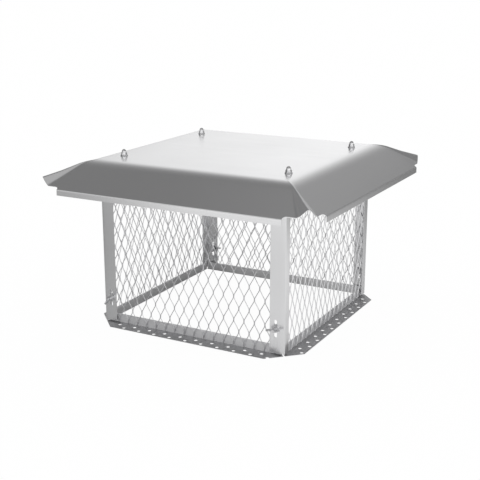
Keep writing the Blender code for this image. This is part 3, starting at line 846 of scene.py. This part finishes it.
def cut_steel(name, look):
    """Expanded stainless, slit and stretched: the eye reads matt, slightly darker strands with no
    clear reflections, as the press leaves them drawn and the cuts rough."""
    made, tree, shader = bare_metal(name)
    drawn = pattern(tree, STRETCH_LINES, 2.0)
    vary(tree, shader, drawn, (look.dark_tone, look.light_tone), STAIN_SPAN, STRAND_BLUR)
    bump = add_node(tree, "Bump", {"Height": drawn, "Strength": 0.6, "Distance": 0.00006})
    tree.links.new(bump.outputs["Normal"], shader.inputs["Normal"])
    return made


class CAP_OT_mesh(bpy.types.Operator):
    """Four panels of raised expanded metal, their long way upright"""
    bl_idname = "cap.mesh"
    bl_label = "Mesh panels"

    def execute(self, context):
        mesh = context.scene.cap_mesh
        finish = cut_steel("expanded_stainless", context.scene.cap_mesh_look)
        for side, phase in MESH_PHASE.items():
            node = "mesh_" + side
            half_width = high(node).x if side in ("front", "back") else high(node).y
            panel = mesh_panel(mesh, side, phase, half_width)
            dress(panel, finish, [node])
        return {"FINISHED"}


# Fasteners

class FastenerSizes(bpy.types.PropertyGroup):
    bolt: metres("Bolt", "Radius of the bolts over their threads", 0.00318)
    thread: metres("Thread pitch", "Ridge to ridge along a bolt", 0.00127)
    thread_depth: metres("Thread depth", "Ridge to root", 0.0004)
    washer: metres("Washer", "Radius of the washers", 0.0079)
    washer_sheet: metres("Washer thickness", "Thickness of the washers", 0.0014)
    across: metres("Hexagon", "Across the flats of the cap nuts and bolt heads", 0.0111)
    nut_height: metres("Nut height", "Height of a cap nut's hexagon", 0.0052)
    nut_flange: metres("Nut flange", "Radius of a cap nut's washer face", 0.0066)
    head: metres("Head", "Height of the bolt heads", 0.0042)
    hub: metres("Hub", "Radius of a wing nut at its seat", 0.0058)
    hub_top: metres("Hub top", "Radius of a wing nut at its top", 0.0046)
    hub_height: metres("Hub height", "Height of a wing nut's hub", 0.0085)
    wing_span: metres("Wing span", "Tip to tip of a wing nut", 0.0310)
    wing_height: metres("Wing height", "Seat to the wings' tops", 0.0150)
    wing_thick: metres("Wing thickness", "Thickness of a wing", 0.0022)


# Turn of each wing nut about its bolt, in degrees, as it was left when the cap was clamped
WING_TURN = {"front_left": 60, "front_right": 4, "back_right": 75, "back_left": 3}
# Small sizes of the fasteners in metres, and shares of their own sizes
CHAMFER = radians(30)
CHAMFER_FLAT = 0.96  # circle on a hexagon's end, as a share of its width across flats
CHAMFER_PAST = 1.05  # the turning body's radius over the hexagon's corners
CROWN = 0.0006  # last step of the chamfer
PAST_END = 0.001  # the turning body's reach past the hexagon's plain end
SKIRT_EDGE = 0.0006  # height of a cap nut's flange at its edge and at the hexagon
SKIRT_TOP = 0.0010
DOME_LOW = 0.0006  # dome's start below the top of the hexagon
DOME_ROOT = 0.0020  # its reach down into the hexagon
DOME_SHARE = 0.94  # its radius over half of the hexagon
DOME_TIP = 0.04  # its last circle over its radius
DOME_STEPS = 10
TIP_SHARE = 0.85  # bolt's tip over its thread roots
PLAIN_SHANK = 0.0010  # under a lid bolt's thread
TIP_IN_NUT = 0.0030  # lid bolt's tip above the cap nut's seat
LOBE_SHARE = 0.2  # lobe's radius over the span less the hub's radius
WING_ROOT = (0.12, 0.85)  # ends of a wing's root over the hub's height
ROOT_IN = 0.8  # wing's root from the axis, over the hub's top radius
ROOT_LONG = 0.001
ROOT_THICKER = 1.5  # than the wing
WING_EDGE = 0.25  # rounding of a wing over its thickness


def turned(name, rows, sides=32):
    """A turned body: a disc drawn up from row to row of radius and height."""
    radius, height = rows[0]
    select_none()
    bpy.ops.mesh.primitive_circle_add(vertices=sides, radius=radius, fill_type="NGON",
                                      location=(0, 0, height))
    thing = bpy.context.object
    thing.name = name
    set_origin(thing)
    edit(thing)
    for new_radius, new_height in rows[1:]:
        bpy.ops.mesh.extrude_region_move(TRANSFORM_OT_translate={"value": (0, 0, new_height - height)})
        share = new_radius / radius
        bpy.ops.transform.resize(value=(share, share, 1), center_override=(0, 0, new_height))
        radius, height = new_radius, new_height
    leave_edit()
    face_outwards(thing)
    return thing


def washer_piece(size, name, seat):
    """A stamped washer with slightly rounded edges."""
    edge = 0.0002
    top = seat + size.washer_sheet
    rows = [(size.washer - edge, seat), (size.washer, seat + edge), (size.washer, top - edge),
            (size.washer - edge, top)]
    washer = turned(name, rows)
    cut(washer, turned("bore", [(size.bolt + FIT, seat - FIT), (size.bolt + FIT, top + FIT)]))
    smooth_by_angle(washer, 30)
    return washer


def hexagon(size, name, low_end, high_end, chamfer_top=True):
    """A hexagon bar with its corners turned off at one end."""
    corner = size.across / 2 / cos(pi / 6)
    bar = turned(name, [(corner, low_end), (corner, high_end)], sides=6)
    flat = size.across / 2 * CHAMFER_FLAT
    wide = corner * CHAMFER_PAST
    drop = (wide - flat) * tan(CHAMFER)
    rows = [(wide, low_end - PAST_END), (wide, high_end - drop), (flat, high_end),
            (flat - CROWN, high_end + CROWN * tan(CHAMFER))]
    if not chamfer_top:
        rows = [(r, low_end + high_end - z) for r, z in reversed(rows)]
    combine(bar, turned("chamfer", rows, sides=48), "INTERSECT")
    return bar


def bolt_piece(size, name, seat, plain, tip):
    """A hexagon head below its seat, and a shank that carries thread ridges past its plain part."""
    root = size.bolt - size.thread_depth
    rows = [(root, seat - size.head / 2), (root, plain)]
    z = plain + size.thread / 2
    while z < tip - size.thread:
        rows += [(size.bolt, z), (root, z + size.thread / 2)]
        z += size.thread
    rows += [(root, tip - size.thread_depth), (root * TIP_SHARE, tip)]
    bolt = turned(name, rows, sides=20)
    combine(bolt, hexagon(size, "head", seat - size.head, seat, chamfer_top=False))
    smooth_by_angle(bolt, 25)
    return bolt


def cap_nut_piece(size, name, seat, top):
    """A hexagon on a low washer face, closed by a dome."""
    nut = hexagon(size, name, seat, seat + size.nut_height)
    skirt = turned("skirt", [(size.nut_flange, seat), (size.nut_flange, seat + SKIRT_EDGE),
                             (size.across / 2, seat + SKIRT_TOP)])
    base = seat + size.nut_height - DOME_LOW
    radius = size.across / 2 * DOME_SHARE
    turns = [k * pi / 2 / DOME_STEPS for k in range(DOME_STEPS)]
    arc = [(radius * cos(turn), base + (top - base) * sin(turn)) for turn in turns]
    dome = turned("dome", [(radius, base - DOME_ROOT)] + arc + [(radius * DOME_TIP, top)])
    combine(nut, skirt)
    combine(nut, dome)
    smooth_by_angle(nut, 30)
    return nut


def wing(size, seat):
    """One wing: the hull of a round lobe and a thicker root inside the hub."""
    lobe = (size.wing_span - size.hub_top) * LOBE_SHARE
    reach = size.wing_span / 2 - lobe
    root_low, root_high = (seat + size.hub_height * share for share in WING_ROOT)
    made = round_bar(lobe, size.wing_thick, (reach, 0, seat + size.wing_height - lobe), FACING_FRONT)
    set_origin(made)
    edit(made)
    bpy.ops.mesh.primitive_cube_add(size=1, location=(size.hub_top * ROOT_IN, 0, (root_low + root_high) / 2),
                                    scale=(ROOT_LONG, size.wing_thick * ROOT_THICKER, root_high - root_low))
    bpy.ops.mesh.select_all(action="SELECT")
    bpy.ops.mesh.convex_hull()
    leave_edit()
    finish_modifier(made, "BEVEL", width=size.wing_thick * WING_EDGE, segments=2, limit_method="ANGLE",
                    angle_limit=radians(40))
    return made


def wing_nut_piece(size, name, seat, turn):
    """A tapered hub with two upswept wings, forged in one."""
    top = seat + size.hub_height
    edge = 0.0005
    rows = [(size.hub, seat), (size.hub, seat + edge), (size.hub_top, top - edge), (size.hub_top - edge, top)]
    nut = turned(name, rows)
    near = wing(size, seat)
    far = copy_piece(near, "far_wing")
    far.rotation_euler.z = pi
    set_origin(far)
    combine(nut, near)
    combine(nut, far)
    cut(nut, turned("bore", [(size.bolt, seat - FIT), (size.bolt, top + FIT)]))
    turn_piece(nut, turn)
    smooth_by_angle(nut, 30)
    return nut


def stand(thing, place, tilt):
    """Puts a fastener in its place, its own upright axis tipped over by an angle about X."""
    thing.rotation_euler.x = radians(tilt)
    thing.location = place
    set_origin(thing)


def turned_steel(name, look):
    """Stainless fasteners, cold headed and turned: the eye reads small, fairly sharp glints on
    edges and threads, over a satin grey with fine tool lines."""
    made, tree, shader = bare_metal(name)
    tones = (look.fastener_dark, look.fastener_light)
    vary(tree, shader, pattern(tree, STAINS, 2.0), tones, STAIN_SPAN, FASTENER_BLUR)
    bump = add_node(tree, "Bump", {"Height": pattern(tree, TOOL_LINES, 3.0), "Strength": 0.5,
                                   "Distance": 0.00002})
    tree.links.new(bump.outputs["Normal"], shader.inputs["Normal"])
    return made


def polished_steel(name, look):
    """Domed cap nuts, polished stainless: the eye reads a bright spot between dark sides, with faint
    fingerprints that dull it here and there."""
    made, tree, shader = bare_metal(name)
    tones = (look.polished_dark, look.polished_light)
    vary(tree, shader, pattern(tree, FINGERPRINTS, 4.0), tones, PRINT_SPAN, POLISHED_BLUR)
    return made


class FastenerLook(bpy.types.PropertyGroup):
    fastener_dark: hex_tone("Steel dark", "Darkest tone of the bolts, washers and wing nuts", "DCDCDE")
    fastener_light: hex_tone("Steel light", "Lightest tone of the bolts, washers and wing nuts", "F0F0F1")
    polished_dark: hex_tone("Polished dark", "Darkest tone of the cap nuts", "D0D0D2")
    polished_light: hex_tone("Polished light", "Lightest tone of the cap nuts", "FAFAFB")


class CAP_OT_lid_fasteners(bpy.types.Operator):
    """Bolt, washer and cap nut at each corner of the lid"""
    bl_idname = "cap.lid_fasteners"
    bl_label = "Lid fasteners"

    def execute(self, context):
        size = context.scene.cap_fasteners
        steel = turned_steel("turned_stainless_lid", context.scene.cap_fastener_look)
        bright = polished_steel("polished_stainless", context.scene.cap_fastener_look)
        nut_low = low("cap_nut_front_left").z - LID_TOP
        nut_high = high("cap_nut_front_left").z - LID_TOP
        head_low = low("lid_bolt_front_left").z - LID_TOP
        washer = washer_piece(size, "flat_washer_lid", low("lid_washer_front_left").z - LID_TOP)
        bolt = bolt_piece(size, "hex_bolt_lid", head_low + size.head, head_low + size.head + PLAIN_SHANK,
                          nut_low + TIP_IN_NUT)
        nut = cap_nut_piece(size, "acorn_nut", nut_low, nut_high)
        for name in CORNERS:
            washer_middle = centre("lid_washer_" + name)
            place = (washer_middle.x, washer_middle.y, LID_TOP)
            for first, kind, finish, slot in ((washer, "lid_washer_", steel, "fastener_steel"),
                                              (bolt, "lid_bolt_", steel, "fastener_steel"),
                                              (nut, "cap_nut_", bright, "polished_steel")):
                piece = copy_piece(first, first.name + "_" + name)
                stand(piece, place, 0)
                dress(piece, finish, [kind + name])
        for first in (washer, bolt, nut):
            bpy.data.objects.remove(first)
        return {"FINISHED"}


class CAP_OT_leg_fasteners(bpy.types.Operator):
    """Bolt, two washers and wing nut low on each post"""
    bl_idname = "cap.leg_fasteners"
    bl_label = "Leg fasteners"

    def execute(self, context):
        size = context.scene.cap_fasteners
        steel = turned_steel("turned_stainless_legs", context.scene.cap_fastener_look)
        inner = high("mesh_washer_front_right").y + HALF
        outer = high("leg_washer_front_right").y + HALF
        seat = -low("leg_bolt_front_right").y - HALF
        nut_low = -high("wing_nut_front_right").y - HALF
        head_low = -high("leg_bolt_front_right").y - HALF
        mesh_washer = washer_piece(size, "flat_washer_mesh", -inner)
        leg_washer = washer_piece(size, "flat_washer_leg", -outer)
        bolt = bolt_piece(size, "hex_bolt_leg", head_low + size.head, -outer, seat)
        for name, (sx, sy) in CORNERS.items():
            washer_middle = centre("leg_washer_" + name)
            place = (washer_middle.x, sy * HALF, washer_middle.z)
            pieces = [(copy_piece(first, first.name + "_" + name), kind) for first, kind in
                      ((mesh_washer, "mesh_washer_"), (leg_washer, "leg_washer_"), (bolt, "leg_bolt_"))]
            wing_nut = wing_nut_piece(size, "wing_nut_forged_" + name, nut_low, WING_TURN[name])
            for piece, kind in pieces + [(wing_nut, "wing_nut_")]:
                stand(piece, place, -90 * sy)
                dress(piece, steel, [kind + name])
        for first in (mesh_washer, leg_washer, bolt):
            bpy.data.objects.remove(first)
        return {"FINISHED"}


# Stage

class StageSizes(bpy.types.PropertyGroup):
    lens: bpy.props.FloatProperty(name="Lens", description="Focal length on a 36 mm sensor", default=71.65)
    azimuth: angle_in_degrees("Azimuth", "Camera's turn from the front", 28.47)
    elevation: angle_in_degrees("Elevation", "Camera's height angle", 15.76)
    distance: metres("Distance", "Camera to the aim point", 2.12645)
    aim: bpy.props.FloatVectorProperty(name="Aim", description="Point that the camera looks at",
                                       default=(-0.001, 0.0, 0.1571), unit="LENGTH")
    floor_tone: hex_tone("Floor", "Floor colour", "F8F8F8")


FLOOR_RADIUS = 30.0
FLOOR_GAP = 0.0002  # the cap stands this far above it, so that no faces coincide
# Level of the studio's walls by the height that a reflection points to, with 1 straight up
WALLS = ((0.30, 1.0), (0.40, 0.92), (0.50, 0.60), (0.58, 0.40), (0.66, 0.28), (0.74, 0.21), (0.82, 0.185),
         (0.90, 0.23), (1.0, 0.27))
# Areas of the studio and of the floor, as reflections see them: a tone that the level goes to or is
# multiplied by, and soft edges. Each edge is a direction and the reaches along it, as a cosine in the
# studio and in metres on the floor, where the change starts and is complete.
STUDIO_AREAS = (
    ("MULTIPLY", 0.86, ((X, -0.38, -0.56),)),  # left wall, a little dimmer
    ("MIX", 0.185, ((X, -0.50, -0.90), (Z, 0.90, 0.60))),  # dark flag on the left
    ("MIX", 0.30, (((0.30, 0.87, 0.38), 0.77, 0.95),)),  # grey screen behind
    ("MIX", 0.31, (((0.36, 0.91, 0.17), 0.94, 0.985),)),  # grey screen low behind
    ("MIX", 0.60, (((-0.46, -0.87, 0.15), 0.92, 0.99),)),  # light grey, low at the front left
    ("MIX", 0.14, (((0.20, 0.93, 0.30), 0.975, 0.995),)),  # small dark card, behind
    ("MIX", 0.43, (((0.10, -0.43, 0.90), 0.80, 0.95),)),  # soft light above the front
    ("MIX", 0.20, (((0.62, 0.36, 0.70), 0.85, 0.96),)),  # dark card, high on the right
)
# Painted light and shade on the floor, which only reflections see
FLOOR_LEVEL = 0.73
FLOOR_LIGHT_AND_SHADE = (
    ("MIX", 0.31, (((1, -0.6, 0), 0.40, -0.28),)),  # darker to the left
    ("MULTIPLY", 0.45, ((X, 0.25, 0.9), (Y, 0.2, 1.0))),  # behind on the right
    ("MULTIPLY", 1.15, ((Y, -0.70, -0.30),)),  # brighter from the cap's front on
    ("MULTIPLY", 1.35, ((Y, -1.20, -1.42),)),  # brighter far in front
    ("MULTIPLY", 0.7, ((X, -0.14, -0.17), (X, -0.213, -0.205), (Y, -0.22, -0.20))),  # painted shade along the inside of the left wall, under the cage
    ("MIX", 0.97, ((Y, 1.0, 1.8), (X, 0.2, -0.4))),  # far behind on the left
)
CAMERA_GLOW = 0.97  # share of its own light in the floor that the camera sees; the rest takes shadows
METAL_GLOW = 0.30


def soft_areas(tree, level, place, areas):
    """Takes a grey level through a table of areas, by where a place or direction lies."""
    for blend, tone, edges in areas:
        share = 1.0
        for along, start, stop in edges:
            reach = add_node(tree, "VectorMath", {0: place, 1: along}, operation="DOT_PRODUCT")
            edge = add_node(tree, "MapRange", {"Value": reach.outputs["Value"], "From Min": start,
                                               "From Max": stop}, interpolation_type="SMOOTHSTEP")
            product = add_node(tree, "Math", {0: edge.outputs["Result"], 1: share}, operation="MULTIPLY")
            share = product.outputs["Value"]
        mixed = add_node(tree, "Mix", {"Factor": share, "A": level, "B": grey(tone)}, data_type="RGBA",
                         blend_type=blend)
        level = mixed.outputs["Result"]
    return level


def seen_by_metal(tree, level):
    """Shows a level to reflections alone. All else meets plain white."""
    path = add_node(tree, "LightPath")
    mixed = add_node(tree, "Mix", {"Factor": path.outputs["Is Glossy Ray"], "A": grey(1.0), "B": level},
                     data_type="RGBA")
    return mixed.outputs["Result"]


def studio_world(scene):
    """Bright walls that darken upwards, a dark flag on the left, grey screens and a soft light above
    the front, as a photographer sets up for bare metal. The light itself is even and white."""
    world = bpy.data.worlds.new("studio")
    scene.world = world
    world.use_nodes = True
    tree = world.node_tree
    tree.nodes.clear()
    direction = add_node(tree, "TexCoord").outputs["Generated"]
    height = add_node(tree, "SeparateXYZ", {"Vector": direction})
    walls = add_node(tree, "ValToRGB", {"Fac": height.outputs["Z"]})
    stops = walls.color_ramp.elements
    stops.remove(stops[1])
    for place, level in WALLS:
        stops.new(place).color = grey(level)
    stops.remove(stops[0])
    level = seen_by_metal(tree, soft_areas(tree, walls.outputs["Color"], direction, STUDIO_AREAS))
    light = add_node(tree, "Background", {"Color": level, "Strength": 1.0})
    add_node(tree, "OutputWorld", {"Surface": light.outputs["Background"]})


def floor_finish(tone):
    """Matt white sweep. The camera sees it nearly white, with a faint shadow, and the metal sees painted
    light and shade on it: lighter and darker patches, as light and cards around a cap would leave, and a
    painted shadow along the inside of the cage's left wall."""
    made = bpy.data.materials.new("white_sweep")
    made.use_nodes = True
    tree = made.node_tree
    tree.nodes.clear()
    place = add_node(tree, "TexCoord").outputs["Object"]
    level = seen_by_metal(tree, soft_areas(tree, grey(FLOOR_LEVEL), place, FLOOR_LIGHT_AND_SHADE))
    colour = add_node(tree, "Mix", {"Factor": 1.0, "A": linear(tone), "B": level}, data_type="RGBA",
                      blend_type="MULTIPLY")
    path = add_node(tree, "LightPath").outputs
    for_camera = add_node(tree, "Math", {0: path["Is Camera Ray"], 1: CAMERA_GLOW}, operation="MULTIPLY")
    share = add_node(tree, "Math", {0: path["Is Glossy Ray"], 1: METAL_GLOW,
                                    2: for_camera.outputs["Value"]}, operation="MULTIPLY_ADD")
    matt = add_node(tree, "BsdfDiffuse", {"Color": colour.outputs["Result"]})
    glow = add_node(tree, "Emission", {"Color": level, "Strength": 1.0})
    mixed = add_node(tree, "MixShader", {0: share.outputs["Value"], 1: matt.outputs["BSDF"],
                                         2: glow.outputs["Emission"]})
    add_node(tree, "OutputMaterial", {"Surface": mixed.outputs["Shader"]})
    return made


class CAP_OT_stage(bpy.types.Operator):
    """Floor, studio light and camera"""
    bl_idname = "cap.stage"
    bl_label = "Stage"

    def execute(self, context):
        scene = context.scene
        stage = scene.cap_stage
        select_none()
        bpy.ops.mesh.primitive_circle_add(vertices=96, radius=FLOOR_RADIUS, fill_type="NGON",
                                          location=(0, 0, GROUND - FLOOR_GAP))
        floor = bpy.context.object
        floor.name = "floor"
        set_origin(floor)
        floor.data.materials.append(floor_finish(stage.floor_tone))
        studio_world(scene)
        aim = Vector(stage.aim)
        flat = cos(stage.elevation) * stage.distance
        away = Vector((sin(stage.azimuth) * flat, -cos(stage.azimuth) * flat,
                       sin(stage.elevation) * stage.distance))
        bpy.ops.object.camera_add(location=aim + away)
        camera = bpy.context.object
        camera.rotation_euler = (-away).to_track_quat("-Z", "Y").to_euler()
        camera.data.lens = stage.lens
        camera.data.sensor_width = 36.0
        scene.camera = camera
        scene.view_settings.view_transform = "Standard"
        return {"FINISHED"}


class CAP_PT_panel(bpy.types.Panel):
    """Lists the chimney cap's pieces"""
    bl_label = "Chimney cap"
    bl_idname = "CAP_PT_panel"
    bl_space_type = "VIEW_3D"
    bl_region_type = "UI"
    bl_category = "Chimney cap"

    def draw(self, context):
        for operator in OPERATORS:
            self.layout.operator(operator.bl_idname)


SETTINGS = {
    "cap_stage": StageSizes, "cap_lid": LidSizes, "cap_post": PostSizes, "cap_angle": AngleSizes,
    "cap_mesh": MeshSizes, "cap_mesh_look": MeshLook, "cap_fasteners": FastenerSizes,
    "cap_sheet_look": SheetLook, "cap_angle_look": AngleLook, "cap_fastener_look": FastenerLook,
}
OPERATORS = (CAP_OT_stage, CAP_OT_lid, CAP_OT_posts, CAP_OT_angles, CAP_OT_mesh, CAP_OT_lid_fasteners,
             CAP_OT_leg_fasteners)


def register():
    for group in SETTINGS.values():
        bpy.utils.register_class(group)
    for operator in OPERATORS:
        bpy.utils.register_class(operator)
    bpy.utils.register_class(CAP_PT_panel)
    for name, group in SETTINGS.items():
        setattr(bpy.types.Scene, name, bpy.props.PointerProperty(type=group))


def unregister():
    for name in SETTINGS:
        delattr(bpy.types.Scene, name)
    bpy.utils.unregister_class(CAP_PT_panel)
    for operator in reversed(OPERATORS):
        bpy.utils.unregister_class(operator)
    for group in reversed(SETTINGS.values()):
        bpy.utils.unregister_class(group)


def main():
    register()
    bpy.ops.cap.stage()
    bpy.ops.cap.lid()
    bpy.ops.cap.posts()
    bpy.ops.cap.angles()
    bpy.ops.cap.mesh()
    bpy.ops.cap.lid_fasteners()
    bpy.ops.cap.leg_fasteners()


if __name__ == "__main__":
    main()
